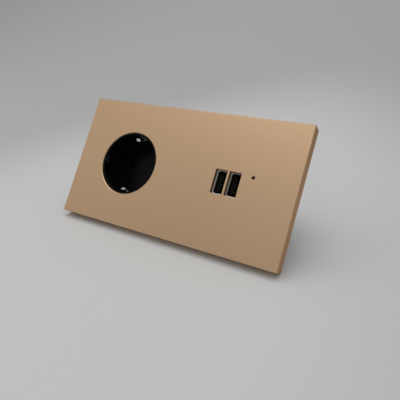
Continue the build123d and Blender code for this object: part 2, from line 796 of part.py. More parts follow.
for name, (port_x, port_z) in zip(("left", "right"), port_places):
    with BuildPart() as port_shell:
        with BuildSketch(wall_plane(port_back)):
            with Locations((port_x, port_z)):
                RectangleRounded(port_width, port_height, port_corner)
        extrude(amount=port_back - lip_foot)
        for depth, flare in ((lip_foot, 0), (port_front, 2 * port_lip)):
            with BuildSketch(wall_plane(depth)):
                with Locations((port_x, port_z)):
                    RectangleRounded(port_width + flare, port_height + flare, port_corner)
        loft(ruled=True)
        with BuildSketch(wall_plane(port_back)):
            with Locations((port_x, port_z)):
                RectangleRounded(inner_width, inner_height, port_corner - port_sheet)
        extrude(amount=port_back - lip_foot, mode=Mode.SUBTRACT)
        for depth, flare in ((lip_foot, 0), (port_front, 2 * port_lip)):
            with BuildSketch(wall_plane(depth)):
                with Locations((port_x, port_z)):
                    RectangleRounded(inner_width + flare, inner_height + flare, port_corner - port_sheet)
        loft(ruled=True, mode=Mode.SUBTRACT)
        with BuildSketch(Plane.YZ.offset(port_x - port_width)):
            with Locations(
                (port_front + latch_setback, port_z - latch_spread / 2),
                (port_front + latch_setback, port_z + latch_spread / 2),
            ):
                Rectangle(latch_length, latch_width)
        extrude(amount=2 * port_width, mode=Mode.SUBTRACT)
        with BuildSketch(wall_plane(board_back + port_gap)):
            with Locations((port_x, port_z - leg_z), (port_x, port_z + leg_z)):
                Rectangle(leg_width, port_sheet)
        extrude(amount=leg_length)
    save(port_shell, f"{name}_port_shell")

    with BuildPart() as port_contacts:
        with BuildSketch(wall_plane(port_back + pad_tail)):
            with Locations(*[(port_x + pad_x, port_z + z) for z in pad_heights]):
                Rectangle(pad_thickness, pad_width)
        extrude(amount=port_back + pad_tail - tongue_front - pad_recess)
    save(port_contacts, f"{name}_port_contacts")

    with BuildPart() as port_tongue:
        with BuildSketch(wall_plane(port_back)) as port_tongue_outline:
            with Locations((port_x, port_z)):
                Rectangle(inner_width, inner_height)
            chamfer(port_tongue_outline.vertices(), port_corner - port_sheet)
        extrude(amount=tongue_block)
        with BuildSketch(wall_plane(port_back)):
            with Locations((port_x + tongue_offset, port_z)):
                Rectangle(tongue_thickness, tongue_height)
        extrude(amount=port_back - tongue_front)
        add(port_contacts.part, mode=Mode.SUBTRACT)
    save(port_tongue, f"{name}_port_tongue")

# Charger's front: a black moulding with the ports and the pilot light's window, and a skirt through the frame.
pad_front = skin_depth + skin_gap
port_post_x = cavity_width / 2 - port_post_inset
port_post_z = cavity_height / 2 - port_post_drop
port_posts = [(charger_x - port_post_x, -port_post_z), (charger_x + port_post_x, -port_post_z)]
with BuildPart() as charger_front:
    with BuildSketch(wall_plane(frame_front)):
        with Locations((charger_x, 0)):
            overhang = 2 * flange_overhang
            RectangleRounded(charger_width + overhang, charger_height + overhang, flange_corner)
        with Locations(*[(charger_x + x, z) for x, z in charger_screw_places]):
            Circle(screw_clear_radius, mode=Mode.SUBTRACT)
    extrude(amount=flange_thickness)
    with BuildSketch(wall_plane(frame_front)):
        with Locations((charger_x, 0)):
            RectangleRounded(pad_area_width, pad_area_height, pad_corner)
    extrude(amount=frame_front - pad_front)
    with BuildSketch(wall_plane(board_front)):
        with Locations((charger_x, 0)):
            RectangleRounded(skirt_width, skirt_height, skirt_corner)
    extrude(amount=board_front - frame_front)
    cavity_front = pad_front + charger_front_wall
    with BuildSketch(wall_plane(board_front)):
        with Locations((charger_x, 0)):
            Rectangle(cavity_width, cavity_height)
    extrude(amount=board_front - cavity_front, mode=Mode.SUBTRACT)
    with BuildSketch(wall_plane(board_front)):
        with Locations(*port_posts):
            Circle(board_post_radius)
    extrude(amount=board_front - cavity_front)
    with BuildSketch(wall_plane(cavity_front)):
        with Locations(*port_places):
            room = 2 * (port_lip + port_gap)
            Rectangle(port_width + room, port_height + room)
        with Locations(light_place):
            Circle(light_stem_radius + light_gap)
    extrude(amount=charger_front_wall, mode=Mode.SUBTRACT)
    with BuildSketch(wall_plane(board_front)):
        with Locations(*port_posts):
            Circle(board_screw_radius + screw_hole_gap)
    extrude(amount=board_screw_length, mode=Mode.SUBTRACT)
save(charger_front, "charger_front")

# Pilot light: a clear rod from the lamp on the port board to just behind the cover's face.
light_tip = face_depth + light_recess
led_front = board_front - led_thickness
with BuildPart() as light_pipe:
    with BuildSketch(wall_plane(led_front - light_gap)):
        with Locations(light_place):
            Circle(light_stem_radius)
    extrude(amount=led_front - light_gap - pad_front)
    with BuildSketch(wall_plane(cavity_front + light_gap + light_collar_thickness)):
        with Locations(light_place):
            Circle(light_collar_radius)
    extrude(amount=light_collar_thickness)
    with BuildSketch(wall_plane(pad_front)):
        with Locations(light_place):
            Circle(light_hole_radius - light_gap)
    extrude(amount=pad_front - light_tip)
    chamfer(light_pipe.faces().sort_by(Axis.Y)[0].edges(), light_gap)
save(light_pipe, "light_pipe")

with BuildPart() as pilot_lamp:
    with BuildSketch(wall_plane(board_front)):
        with Locations(light_place):
            Rectangle(led_length, led_width)
    extrude(amount=led_thickness)
save(pilot_lamp, "pilot_lamp")

# Port board: stands on the skirt's end, with slots for the shells' legs and holes for the contacts.
link_places = [(charger_x + (n - (link_pins - 1) / 2) * link_pitch, link_z) for n in range(link_pins)]
with BuildPart() as port_board:
    with BuildSketch(wall_plane(board_back)):
        with Locations((charger_x, 0)):
            width = skirt_width - 2 * port_board_inset
            RectangleRounded(width, skirt_height - 2 * port_board_inset, skirt_corner)
        for port_x, port_z in port_places:
            with Locations((port_x, port_z - leg_z), (port_x, port_z + leg_z)):
                Rectangle(leg_width + 2 * port_gap, port_sheet + 2 * port_gap, mode=Mode.SUBTRACT)
            with Locations(*[(port_x + pad_x, port_z + z) for z in pad_heights]):
                Rectangle(pad_thickness + 2 * port_gap, pad_width + 2 * port_gap, mode=Mode.SUBTRACT)
        with Locations(*link_places):
            Rectangle(link_pin, link_pin, mode=Mode.SUBTRACT)
        with Locations(*port_posts):
            Circle(board_screw_radius + screw_hole_gap, mode=Mode.SUBTRACT)
    extrude(amount=port_board_thickness)
save(port_board, "port_board")


def board_screw(head_depth):
    """One small screw that goes in towards the room, its head's seat at this depth."""
    with BuildPart() as screw:
        with BuildSketch(wall_plane(head_depth)):
            Circle(board_screw_radius)
        extrude(amount=board_screw_length - port_gap)
        with BuildSketch(wall_plane(head_depth + board_screw_head_height)):
            Circle(board_screw_head)
        extrude(amount=board_screw_head_height)
        with BuildSketch(wall_plane(head_depth + board_screw_head_height)):
            Rectangle(board_screw_head, board_screw_head / 4)
            Rectangle(board_screw_head / 4, board_screw_head)
        extrude(amount=board_screw_head_height / 2, mode=Mode.SUBTRACT)
    return screw


port_board_screw = board_screw(board_back)
with BuildPart() as port_board_screws:
    with Locations(*[(x, 0, z) for x, z in port_posts]):
        add(port_board_screw.part)
save(port_board_screws, "port_board_screws")

# Charger's body: a thin box with a ledge inside for the power board, vents above, and the terminals' bay below.
hollow_width = charger_width - 2 * moulded_wall
hollow_height = charger_height - 2 * moulded_wall
charger_tail_width = charger_width - 2 * tail_step_x
charger_tail_height = charger_height - 2 * tail_step_z
block_floor = charger_tail_height / 2 - moulded_wall - block_recess
block_depth = charger_depth - block_recess
cage_depth = block_depth - pole_screw_head_height - 2 * screw_hole_gap - cage_length
power_post_x = charger_tail_width / 2 - moulded_wall - board_post_radius - board_post_gap
power_posts = [(charger_x - power_post_x, power_post_z), (charger_x + power_post_x, power_post_z)]
with BuildPart() as charger_body:
    with BuildSketch(wall_plane(charger_shoulder)):
        with Locations((charger_x, 0)):
            RectangleRounded(charger_width, charger_height, body_corner)
    extrude(amount=charger_shoulder)
    with BuildSketch(wall_plane(charger_depth)):
        with Locations((charger_x, 0)):
            RectangleRounded(charger_tail_width, charger_tail_height, tail_corner)
    extrude(amount=charger_depth - charger_shoulder)
    chamfer(charger_body.faces().sort_by(Axis.Y)[-1].edges(), moulded_edge)
    with BuildSketch(wall_plane(power_board_back)):
        with Locations((charger_x, 0)):
            Rectangle(hollow_width, hollow_height)
    extrude(amount=power_board_back, mode=Mode.SUBTRACT)
    with BuildSketch(wall_plane(charger_depth - moulded_wall)):
        with Locations((charger_x, 0)):
            tail_walls = 2 * moulded_wall
            Rectangle(charger_tail_width - tail_walls, charger_tail_height - tail_walls)
    extrude(amount=charger_depth - moulded_wall - power_board_back, mode=Mode.SUBTRACT)
    with BuildSketch(wall_plane(power_board_back)):
        with Locations(*[(charger_x + x, z) for x, z in charger_screw_places]):
            Circle(post_radius)
    extrude(amount=power_board_back)
    with BuildSketch(wall_plane(charger_depth - moulded_wall)):
        with Locations(*power_posts):
            Circle(board_post_radius)
    extrude(amount=charger_depth - moulded_wall - power_board_back)
    with BuildSketch(wall_plane(flange_front + screw_length + screw_recess)):
        with Locations(*[(charger_x + x, z) for x, z in charger_screw_places]):
            Circle(screw_radius + screw_hole_gap)
    extrude(amount=flange_front + screw_length + screw_recess, mode=Mode.SUBTRACT)
    with BuildSketch(wall_plane(power_board_back + board_screw_length)):
        with Locations(*power_posts):
            Circle(board_screw_radius + screw_hole_gap)
    extrude(amount=board_screw_length, mode=Mode.SUBTRACT)
    with BuildSketch(wall_plane(charger_depth)):
        with Locations((charger_x, -block_floor + block_height / 2)):
            Rectangle(block_width + 2 * block_gap, block_height + 2 * block_gap)
    extrude(amount=moulded_wall, mode=Mode.SUBTRACT)
    with BuildSketch(Plane.XY.offset(-charger_tail_height / 2)):
        for side in (-1, 1):
            with Locations((charger_x + side * pole_pitch / 2, cage_depth + cage_length / 2)):
                Rectangle(cage_size - 2 * cage_wall, cage_length - 2 * cage_wall)
    extrude(amount=moulded_wall, mode=Mode.SUBTRACT)
    with BuildSketch(Plane.XY.offset(charger_tail_height / 2 - moulded_wall)):
        with Locations((charger_x, (charger_shoulder + charger_depth - moulded_wall) / 2)):
            with GridLocations(vent_pitch, 0, vent_count, 1):
                Rectangle(vent_width, charger_depth - charger_shoulder - 3 * moulded_wall)
    extrude(amount=moulded_wall, mode=Mode.SUBTRACT)
save(charger_body, "charger_body")

# Power board: seated on the ledge, with its corners cut away round the screw posts.
with BuildPart() as power_board:
    with BuildSketch(wall_plane(power_board_back)):
        with Locations((charger_x, 0)):
            Rectangle(hollow_width - 2 * power_board_gap, hollow_height - 2 * power_board_gap)
            notch_x = screw_inset_x - moulded_wall + post_radius + board_notch_gap
            notch_z = screw_inset_z - moulded_wall + post_radius + board_notch_gap
            with GridLocations(hollow_width, hollow_height, 2, 2):
                Rectangle(2 * notch_x, 2 * notch_z, mode=Mode.SUBTRACT)
        with Locations(*power_posts):
            Circle(board_screw_radius + screw_hole_gap, mode=Mode.SUBTRACT)
        with Locations(*link_places):
            Rectangle(link_pin, link_pin, mode=Mode.SUBTRACT)
    extrude(amount=power_board_thickness)
save(power_board, "power_board")

with BuildPart() as power_board_screws:
    for post in power_posts:
        with BuildSketch(wall_plane(power_board_front)):
            with Locations(post):
                Circle(board_screw_head)
        extrude(amount=board_screw_head_height)
        with BuildSketch(wall_plane(power_board_front - board_screw_head_height / 2)):
            with Locations(post):
                Rectangle(board_screw_head, board_screw_head / 4)
                Rectangle(board_screw_head / 4, board_screw_head)
        extrude(amount=board_screw_head_height, mode=Mode.SUBTRACT)
        with BuildSketch(wall_plane(power_board_front)):
            with Locations(post):
                Circle(board_screw_radius)
        extrude(amount=-(board_screw_length - port_gap))
save(power_board_screws, "power_board_screws")

# Board link: a row of pins in a bar between the two boards.
with BuildPart() as board_link:
    with BuildSketch(wall_plane(power_board_front)):
        with Locations((charger_x, link_z)):
            Rectangle(link_pins * link_pitch, link_width)
    extrude(amount=power_board_front - board_back)
    with BuildSketch(wall_plane(power_board_back + link_pin)):
        with Locations(*link_places):
            Rectangle(link_pin, link_pin)
    extrude(amount=power_board_back + link_pin - board_front + link_pin)
save(board_link, "board_link")

# Transformer: two ferrite halves round a wound bobbin, the charger's largest component.
core_back_face = power_board_back + transformer_rise
transformer_place = (charger_x + transformer_x, transformer_z)
window_height = transformer_height - 2 * core_back
window_width = (transformer_width - 2 * core_leg - core_leg) / 2
with BuildPart() as transformer_core:
    with BuildSketch(wall_plane(core_back_face)):
        with Locations(transformer_place):
            Rectangle(transformer_width, transformer_height)
            with GridLocations(core_leg + window_width, 0, 2, 1):
                Rectangle(window_width, window_height, mode=Mode.SUBTRACT)
    extrude(amount=transformer_rise)
    chamfer(transformer_core.faces().sort_by(Axis.Y)[-1].outer_wire().edges(), moulded_edge)
save(transformer_core, "transformer_core")

with BuildPart() as transformer_winding:
    with BuildSketch(wall_plane(core_back_face - core_back)):
        with Locations(transformer_place):
            Rectangle(core_leg + 2 * window_width - 2 * winding_gap, window_height - 2 * winding_gap)
            Rectangle(core_leg + 2 * winding_gap, transformer_height, mode=Mode.SUBTRACT)
    extrude(amount=transformer_rise - core_back)
save(transformer_winding, "transformer_winding")


def capacitor(radius, length):
    """One electrolytic can, standing on the back of the power board at the origin."""
    with BuildPart() as can:
        with BuildSketch(wall_plane(power_board_back + length)):
            Circle(radius)
        extrude(amount=length)
        chamfer(can.faces().sort_by(Axis.Y)[-1].edges(), cap_edge)
    return can


input_can = capacitor(input_cap_radius, input_cap_length)
with BuildPart() as input_capacitor:
    with Locations((charger_x + input_cap_x, 0, input_cap_z)):
        add(input_can.part)
save(input_capacitor, "input_capacitor")

output_can = capacitor(output_cap_radius, output_cap_length)
with BuildPart() as output_capacitors:
    with Locations(*[(charger_x + output_cap_x, 0, output_cap_z - n * output_cap_pitch) for n in (0, 1)]):
        add(output_can.part)
save(output_capacitors, "output_capacitors")

with BuildPart() as choke:
    with BuildSketch(wall_plane(power_board_back + choke_length)):
        with Locations((charger_x + choke_x, choke_z)):
            Circle(choke_radius)
    extrude(amount=choke_length)
    with BuildSketch(wall_plane(power_board_back + choke_length * 3 / 4)):
        with Locations((charger_x + choke_x, choke_z)):
            Circle(choke_radius)
            Circle(choke_radius * 3 / 4, mode=Mode.SUBTRACT)
    extrude(amount=choke_length / 2, mode=Mode.SUBTRACT)
save(choke, "choke")

with BuildPart() as fuse:
    with BuildSketch(Plane.YZ.offset(charger_x + fuse_x - fuse_length / 2)):
        with Locations((power_board_back + fuse_radius, fuse_z)):
            Circle(fuse_radius)
    extrude(amount=fuse_length)
save(fuse, "fuse")

for name, size, x, z in (
    ("rectifier", rectifier_size, rectifier_x, rectifier_z),
    ("controller_chip", chip_size, chip_x, chip_z),
):
    with BuildPart() as package:
        with BuildSketch(wall_plane(power_board_front)):
            with Locations((charger_x + x, z)):
                Rectangle(size[0], size[1])
        extrude(amount=size[2])
        chamfer(package.faces().sort_by(Axis.Y)[0].edges(), size[2] / 6)
    save(package, name)

# Charger's terminals: a two-pole block, with a brass cage and a slotted screw for each pole.
block_middle = -block_floor + block_height / 2
cage_middle = cage_depth + cage_length / 2
head_seat = cage_depth + cage_length + screw_hole_gap
with BuildPart() as terminal_block:
    with BuildSketch(wall_plane(block_depth)) as block_outline:
        with Locations((charger_x, block_middle)):
            Rectangle(block_width, block_height)
        chamfer(block_outline.vertices(), moulded_edge)
    extrude(amount=block_depth - power_board_back)
    with BuildSketch(Plane.XY.offset(-block_floor)):
        for side in (-1, 1):
            with Locations((charger_x + side * pole_pitch / 2, cage_middle)):
                Rectangle(cage_size + 2 * screw_hole_gap, cage_length + 2 * screw_hole_gap)
    extrude(amount=cage_size + screw_hole_gap, mode=Mode.SUBTRACT)
    with BuildSketch(wall_plane(block_depth)):
        for side in (-1, 1):
            with Locations((charger_x + side * pole_pitch / 2, -block_floor + cage_size / 2)):
                Circle(pole_screw_access)
    extrude(amount=block_depth - head_seat, mode=Mode.SUBTRACT)
save(terminal_block, "terminal_block")

with BuildPart() as terminal_cages:
    for side in (-1, 1):
        with BuildSketch(Plane.XY.offset(-block_floor)):
            with Locations((charger_x + side * pole_pitch / 2, cage_middle)):
                Rectangle(cage_size, cage_length)
                Rectangle(cage_size - 2 * cage_wall, cage_length - 2 * cage_wall, mode=Mode.SUBTRACT)
        extrude(amount=cage_size)
        with BuildSketch(wall_plane(cage_depth + cage_length)):
            with Locations((charger_x + side * pole_pitch / 2, -block_floor + cage_size / 2)):
                Circle(pole_screw_radius + screw_hole_gap)
        extrude(amount=cage_wall, mode=Mode.SUBTRACT)
save(terminal_cages, "terminal_cages")

with BuildPart() as terminal_screws:
    for side in (-1, 1):
        place = (charger_x + side * pole_pitch / 2, -block_floor + cage_size / 2)
        with BuildSketch(wall_plane(head_seat + pole_screw_head_height)):
            with Locations(place):
                Circle(pole_screw_head)
        extrude(amount=pole_screw_head_height)
        with BuildSketch(wall_plane(head_seat + pole_screw_head_height)):
            with Locations(place):
                Rectangle(2 * pole_screw_head, pole_screw_slot)
        extrude(amount=pole_screw_head_height / 2, mode=Mode.SUBTRACT)
        with BuildSketch(wall_plane(head_seat)):
            with Locations(place):
                Circle(pole_screw_radius)
        extrude(amount=pole_screw_length - pole_screw_head_height)
save(terminal_screws, "terminal_screws")
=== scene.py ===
import math

import bpy
from mathutils import Matrix, Vector


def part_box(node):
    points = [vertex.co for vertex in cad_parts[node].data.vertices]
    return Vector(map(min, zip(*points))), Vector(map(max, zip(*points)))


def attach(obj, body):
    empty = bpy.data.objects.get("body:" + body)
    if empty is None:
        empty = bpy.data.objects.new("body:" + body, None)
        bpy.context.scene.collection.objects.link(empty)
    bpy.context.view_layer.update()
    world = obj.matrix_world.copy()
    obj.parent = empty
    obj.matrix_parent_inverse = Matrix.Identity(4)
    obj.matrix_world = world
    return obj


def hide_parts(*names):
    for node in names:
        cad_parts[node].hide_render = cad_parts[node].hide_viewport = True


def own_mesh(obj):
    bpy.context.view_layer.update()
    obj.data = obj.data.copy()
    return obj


# A flush wall outlet, laid down leaning on its back edges: an earthed mains socket and a charger with two ports,
# behind one thick metal cover. Sections follow its assembly, from the two support frames out to the cover.
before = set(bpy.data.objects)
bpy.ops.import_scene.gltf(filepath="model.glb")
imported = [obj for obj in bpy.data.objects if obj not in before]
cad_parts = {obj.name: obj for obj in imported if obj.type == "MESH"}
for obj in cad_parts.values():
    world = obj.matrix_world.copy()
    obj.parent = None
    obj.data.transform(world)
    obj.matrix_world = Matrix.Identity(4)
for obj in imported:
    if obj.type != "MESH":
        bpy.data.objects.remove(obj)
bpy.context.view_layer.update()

# Support frames: 1.2 mm steel blanks, one to a wall box, punched and zinc plated, hooked into each other by
# two dovetails. Everything else is screwed or clipped to them.
ZINC = (0.56, 0.58, 0.61)
ZINC_SHADE = (0.42, 0.44, 0.48)
GRAIN_DIPS = 0.3
GRAIN_PEAKS = 0.7
EDGE_BEGINS = 0.98
EDGE_FULL = 0.8
BEVEL_SAMPLES = 6


def place(tree, kind, inputs, **settings):
    """Adds one node. Its inputs are given by name or number, each as a value or as another node's output."""
    node = tree.nodes.new(kind)
    for key, value in settings.items():
        setattr(node, key, value)
    for key, value in inputs.items():
        if isinstance(value, bpy.types.NodeSocket):
            tree.links.new(value, node.inputs[key])
        else:
            node.inputs[key].default_value = value
    return node.outputs


def new_effect(name, inputs, outputs):
    """An empty shader group with these sockets. Returns the group, its inner inputs and its inner outputs."""
    group = bpy.data.node_groups.new(name, "ShaderNodeTree")
    for label, kind, value in inputs:
        socket = group.interface.new_socket(label, in_out="INPUT", socket_type=kind)
        socket.default_value = value
    for label, kind in outputs:
        group.interface.new_socket(label, in_out="OUTPUT", socket_type=kind)
    return group, group.nodes.new("NodeGroupInput").outputs, group.nodes.new("NodeGroupOutput").inputs


def surface_grain():
    """Grain of a worked surface: Frequency is its waves per metre along each axis, so uneven values make lines."""
    group, given, result = new_effect(
        "surface grain",
        [("Frequency", "NodeSocketVector", (3000, 3000, 3000)), ("Detail", "NodeSocketFloat", 2.0)],
        [("Tone", "NodeSocketFloat"), ("Height", "NodeSocketFloat")],
    )
    where = place(group, "ShaderNodeTexCoord", {})["Object"]
    stretched = place(group, "ShaderNodeVectorMath", {0: where, 1: given["Frequency"]}, operation="MULTIPLY")[0]
    waves = place(group, "ShaderNodeTexNoise", {"Vector": stretched, "Scale": 1.0, "Detail": given["Detail"]})
    limits = {"Value": waves[0], "From Min": GRAIN_DIPS, "From Max": GRAIN_PEAKS}
    tone = place(group, "ShaderNodeMapRange", limits)
    group.links.new(tone[0], result["Tone"])
    group.links.new(waves[0], result["Height"])
    return group


def worn_edge():
    """A Mask that is 1 on edges, and a Normal that rounds them, both over Width metres."""
    group, given, result = new_effect(
        "worn edge",
        [("Width", "NodeSocketFloat", 0.0002)],
        [("Mask", "NodeSocketFloat"), ("Normal", "NodeSocketVector")],
    )
    rounded = place(group, "ShaderNodeBevel", {"Radius": given["Width"]}, samples=BEVEL_SAMPLES)[0]
    flat = place(group, "ShaderNodeNewGeometry", {})["Normal"]
    match = place(group, "ShaderNodeVectorMath", {0: rounded, 1: flat}, operation="DOT_PRODUCT")["Value"]
    limits = {"Value": match, "From Min": EDGE_BEGINS, "From Max": EDGE_FULL}
    mask = place(group, "ShaderNodeMapRange", limits)
    group.links.new(mask[0], result["Mask"])
    group.links.new(rounded, result["Normal"])
    return group


GRAIN = surface_grain()
EDGE = worn_edge()


def blend_colours(tree, mask, low, high):
    """A colour that goes from low to high with the mask."""
    low = low if isinstance(low, bpy.types.NodeSocket) else (*low, 1)
    return place(tree, "ShaderNodeMix", {0: mask, 6: low, 7: (*high, 1)}, data_type="RGBA")[2]


def finish(name, shade, light, edge_light, roughness, grain, depth, edge=0.00015, detail=2.0, **fixed):
    """A worked surface: two close tones in its grain, lighter edges, a range of roughness and a fine relief."""
    material = bpy.data.materials.new(name)
    material.use_nodes = True
    tree = material.node_tree
    shader = tree.nodes["Principled BSDF"]
    worked = place(tree, "ShaderNodeGroup", {}, node_tree=GRAIN)
    worked["Tone"].node.inputs["Frequency"].default_value = grain
    worked["Tone"].node.inputs["Detail"].default_value = detail
    edges = place(tree, "ShaderNodeGroup", {}, node_tree=EDGE)
    edges["Mask"].node.inputs["Width"].default_value = edge
    body_colour = blend_colours(tree, worked["Tone"], shade, light)
    tree.links.new(blend_colours(tree, edges["Mask"], body_colour, edge_light), shader.inputs["Base Color"])
    limits = {"Value": worked["Tone"], "To Min": roughness[0], "To Max": roughness[1]}
    tree.links.new(place(tree, "ShaderNodeMapRange", limits)[0], shader.inputs["Roughness"])
    relief = {"Strength": 1.0, "Distance": depth, "Height": worked["Height"], "Normal": edges["Normal"]}
    tree.links.new(place(tree, "ShaderNodeBump", relief)["Normal"], shader.inputs["Normal"])
    for label, value in fixed.items():
        shader.inputs[label.replace("_", " ")].default_value = value
    return material


def dress(material, *names):
    """Gives CAD nodes their material."""
    for name in names:
        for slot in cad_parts[name].material_slots:
            slot.material = material


zinc = finish(
    "zinc plated sheet",
    ZINC_SHADE,
    ZINC,
    (0.72, 0.74, 0.77),
    roughness=(0.30, 0.48),
    grain=(420, 420, 420),
    depth=0.000004,
    Metallic=1.0,
)
dress(zinc, "socket_frame", "charger_frame")

# Socket base: one light grey moulding of glass-filled nylon, with a chamber for each pin contact and six square
# wire windows behind. The inner cover is a disc of the same plastic that closes the chambers.
base_grey = finish(
    "light grey nylon",
    (0.50, 0.51, 0.51),
    (0.58, 0.59, 0.585),
    (0.66, 0.67, 0.66),
    roughness=(0.46, 0.62),
    grain=(2600, 2600, 2600),
    depth=0.00001,
)
dress(base_grey, "socket_base", "inner_cover")

# Pin contacts: stamped brass, rolled to slit tubes, with a plate that the wires are clamped to. The wires are
# held by bent leaves of spring steel.
brass = finish(
    "stamped brass",
    (0.66, 0.45, 0.16),
    (0.80, 0.58, 0.24),
    (0.90, 0.72, 0.38),
    roughness=(0.24, 0.40),
    grain=(900, 5000, 900),
    depth=0.000003,
    Metallic=1.0,
)
dress(brass, "live_contact", "neutral_contact")

spring_steel = finish(
    "spring steel strip",
    (0.40, 0.41, 0.43),
    (0.54, 0.55, 0.57),
    (0.70, 0.71, 0.73),
    roughness=(0.22, 0.36),
    grain=(6000, 700, 700),
    depth=0.000003,
    Metallic=1.0,
)
dress(spring_steel, "live_clamp_spring", "earth_clamp_spring", "neutral_clamp_spring")

# Earth strap: one strip of nickel-plated brass, bent round the back of the well, with a curled contact at each
# end. These two tips are the brightest things inside the dark well.
nickel = finish(
    "bright nickel",
    (0.62, 0.61, 0.57),
    (0.76, 0.74, 0.70),
    (0.90, 0.89, 0.86),
    roughness=(0.14, 0.26),
    grain=(5000, 900, 900),
    depth=0.000002,
    Metallic=1.0,
)
dress(nickel, "earth_strap")

# Release buttons: orange mouldings in windows behind the base, one to each wire clamp. A push with a screwdriver
# bends the clamp's leaf and frees the wire.
orange = finish(
    "orange moulding",
    (0.62, 0.14, 0.02),
    (0.76, 0.19, 0.03),
    (0.86, 0.33, 0.10),
    roughness=(0.36, 0.50),
    grain=(2200, 2200, 2200),
    depth=0.000008,
)
dress(orange, "live_release_button", "earth_release_button", "neutral_release_button")

# Shutter: a slider moulded in dark acetal, with a ramp in front of each pin contact. Two pins pushed in together
# wedge it upwards, and its two holes come in line with those of the well's floor.
shutter_plastic = finish(
    "dark acetal",
    (0.0055, 0.0055, 0.0060),
    (0.0095, 0.0095, 0.0105),
    (0.020, 0.020, 0.022),
    roughness=(0.34, 0.46),
    grain=(1800, 1800, 1800),
    depth=0.000006,
    Specular_IOR_Level=0.15,
)
dress(shutter_plastic, "shutter")

# Shutter spring: round steel wire, coiled with a closed turn at each end. It stands on the shutter's shoulder under
# a stop behind the well; the coil is built at its resting length and rides with the outlet's body.
WIRE_RADIUS = 0.00022
WIRE_SIDES = 8
OPEN_TURNS = 5
STEPS_PER_TURN = 24
NEARBY_TURN = 0.01
spring_low, spring_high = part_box("shutter_spring")
spring_middle = (spring_low + spring_high) / 2
spring_height = spring_high.z - spring_low.z
coil_radius = (spring_high.x - spring_low.x) / 2 - WIRE_RADIUS
closed_rise = 2 * WIRE_RADIUS
open_rise = spring_height - 2 * WIRE_RADIUS - 2 * closed_rise
all_turns = OPEN_TURNS + 2


def wire_centre(turns):
    """The middle of the wire after so many turns: one closed turn, the open turns, and one closed turn."""
    rise = closed_rise * min(turns, 1)
    rise += open_rise * min(max(turns - 1, 0), OPEN_TURNS) / OPEN_TURNS
    rise += closed_rise * max(turns - 1 - OPEN_TURNS, 0)
    angle = 2 * math.pi * turns
    across = Vector((math.cos(angle), math.sin(angle), 0)) * coil_radius
    return Vector((spring_middle.x, spring_middle.y, spring_low.z + WIRE_RADIUS + rise)) + across


wire_points = []
wire_steps = all_turns * STEPS_PER_TURN
for step in range(wire_steps + 1):
    turns = step / STEPS_PER_TURN
    centre = wire_centre(turns)
    along = (wire_centre(turns + NEARBY_TURN) - wire_centre(turns - NEARBY_TURN)).normalized()
    outward = Vector((math.cos(2 * math.pi * turns), math.sin(2 * math.pi * turns), 0))
    upward = along.cross(outward)
    for side in range(WIRE_SIDES):
        angle = 2 * math.pi * side / WIRE_SIDES
        wire_points.append(centre + WIRE_RADIUS * (math.cos(angle) * outward + math.sin(angle) * upward))
wire_faces = [tuple(reversed(range(WIRE_SIDES)))]
for step in range(wire_steps):
    for side in range(WIRE_SIDES):
        this, after = step * WIRE_SIDES + side, step * WIRE_SIDES + (side + 1) % WIRE_SIDES
        wire_faces.append((this, after, after + WIRE_SIDES, this + WIRE_SIDES))
wire_faces.append(tuple(wire_steps * WIRE_SIDES + side for side in range(WIRE_SIDES)))
spring_mesh = bpy.data.meshes.new("shutter_coil")
spring_mesh.from_pydata(wire_points, [], wire_faces)
spring_mesh.shade_smooth()
spring_mesh.materials.append(spring_steel)
shutter_coil = bpy.data.objects.new("shutter_coil", spring_mesh)
bpy.context.scene.collection.objects.link(shutter_coil)
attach(shutter_coil, "outlet")
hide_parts("shutter_spring")
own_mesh(shutter_coil)

# Well: glossy black moulding that takes the plug, with a guide rib at each side. Plugs leave faint rub marks
# round its wall, so its gloss isn't even.
well_black = finish(
    "glossy black moulding",
    (0.0022, 0.0022, 0.0025),
    (0.0036, 0.0036, 0.0040),
    (0.012, 0.012, 0.013),
    roughness=(0.22, 0.36),
    grain=(260, 900, 260),
    depth=0.000002,
    edge=0.0003,
    detail=4.0,
    Specular_IOR_Level=0.07,
)
dress(well_black, "socket_well")

# Module screws: zinc-plated steel with cross recesses. Four hold the well to the base and four the charger's front
# to its body, through the frame between them.
screw_steel = finish(
    "zinc plated screw",
    (0.50, 0.50, 0.50),
    (0.66, 0.66, 0.65),
    (0.80, 0.80, 0.79),
    roughness=(0.22, 0.40),
    grain=(1500, 1500, 1500),
    depth=0.000004,
    Metallic=1.0,
)
dress(screw_steel, "socket_screws", "charger_screws")

# Charger housing: a black moulded box, finely spark-textured outside, with a row of vents on top, and a front of
# the same plastic. The link between the boards and two chip cases share its finish.
charger_black = finish(
    "textured black moulding",
    (0.016, 0.016, 0.018),
    (0.028, 0.028, 0.031),
    (0.060, 0.060, 0.065),
    roughness=(0.44, 0.62),
    grain=(5200, 5200, 5200),
    depth=0.00002,
)
dress(charger_black, "charger_body", "charger_front", "board_link", "rectifier", "controller_chip")

# Boards: glass-fibre laminate under green solder mask, screwed to the charger's front and body. The large components
# stand between them: the transformer's ferrite core and taped winding, a choke, a fuse and sleeved capacitors.
board_green = finish(
    "green solder mask",
    (0.012, 0.090, 0.034),
    (0.020, 0.135, 0.052),
    (0.16, 0.20, 0.10),
    roughness=(0.22, 0.36),
    grain=(480, 480, 480),
    depth=0.00001,
)
dress(board_green, "port_board", "power_board")
dress(screw_steel, "port_board_screws", "power_board_screws")

ferrite = finish(
    "sintered ferrite",
    (0.040, 0.040, 0.043),
    (0.070, 0.070, 0.074),
    (0.12, 0.12, 0.12),
    roughness=(0.40, 0.60),
    grain=(2600, 2600, 2600),
    depth=0.00001,
)
dress(ferrite, "transformer_core", "choke")

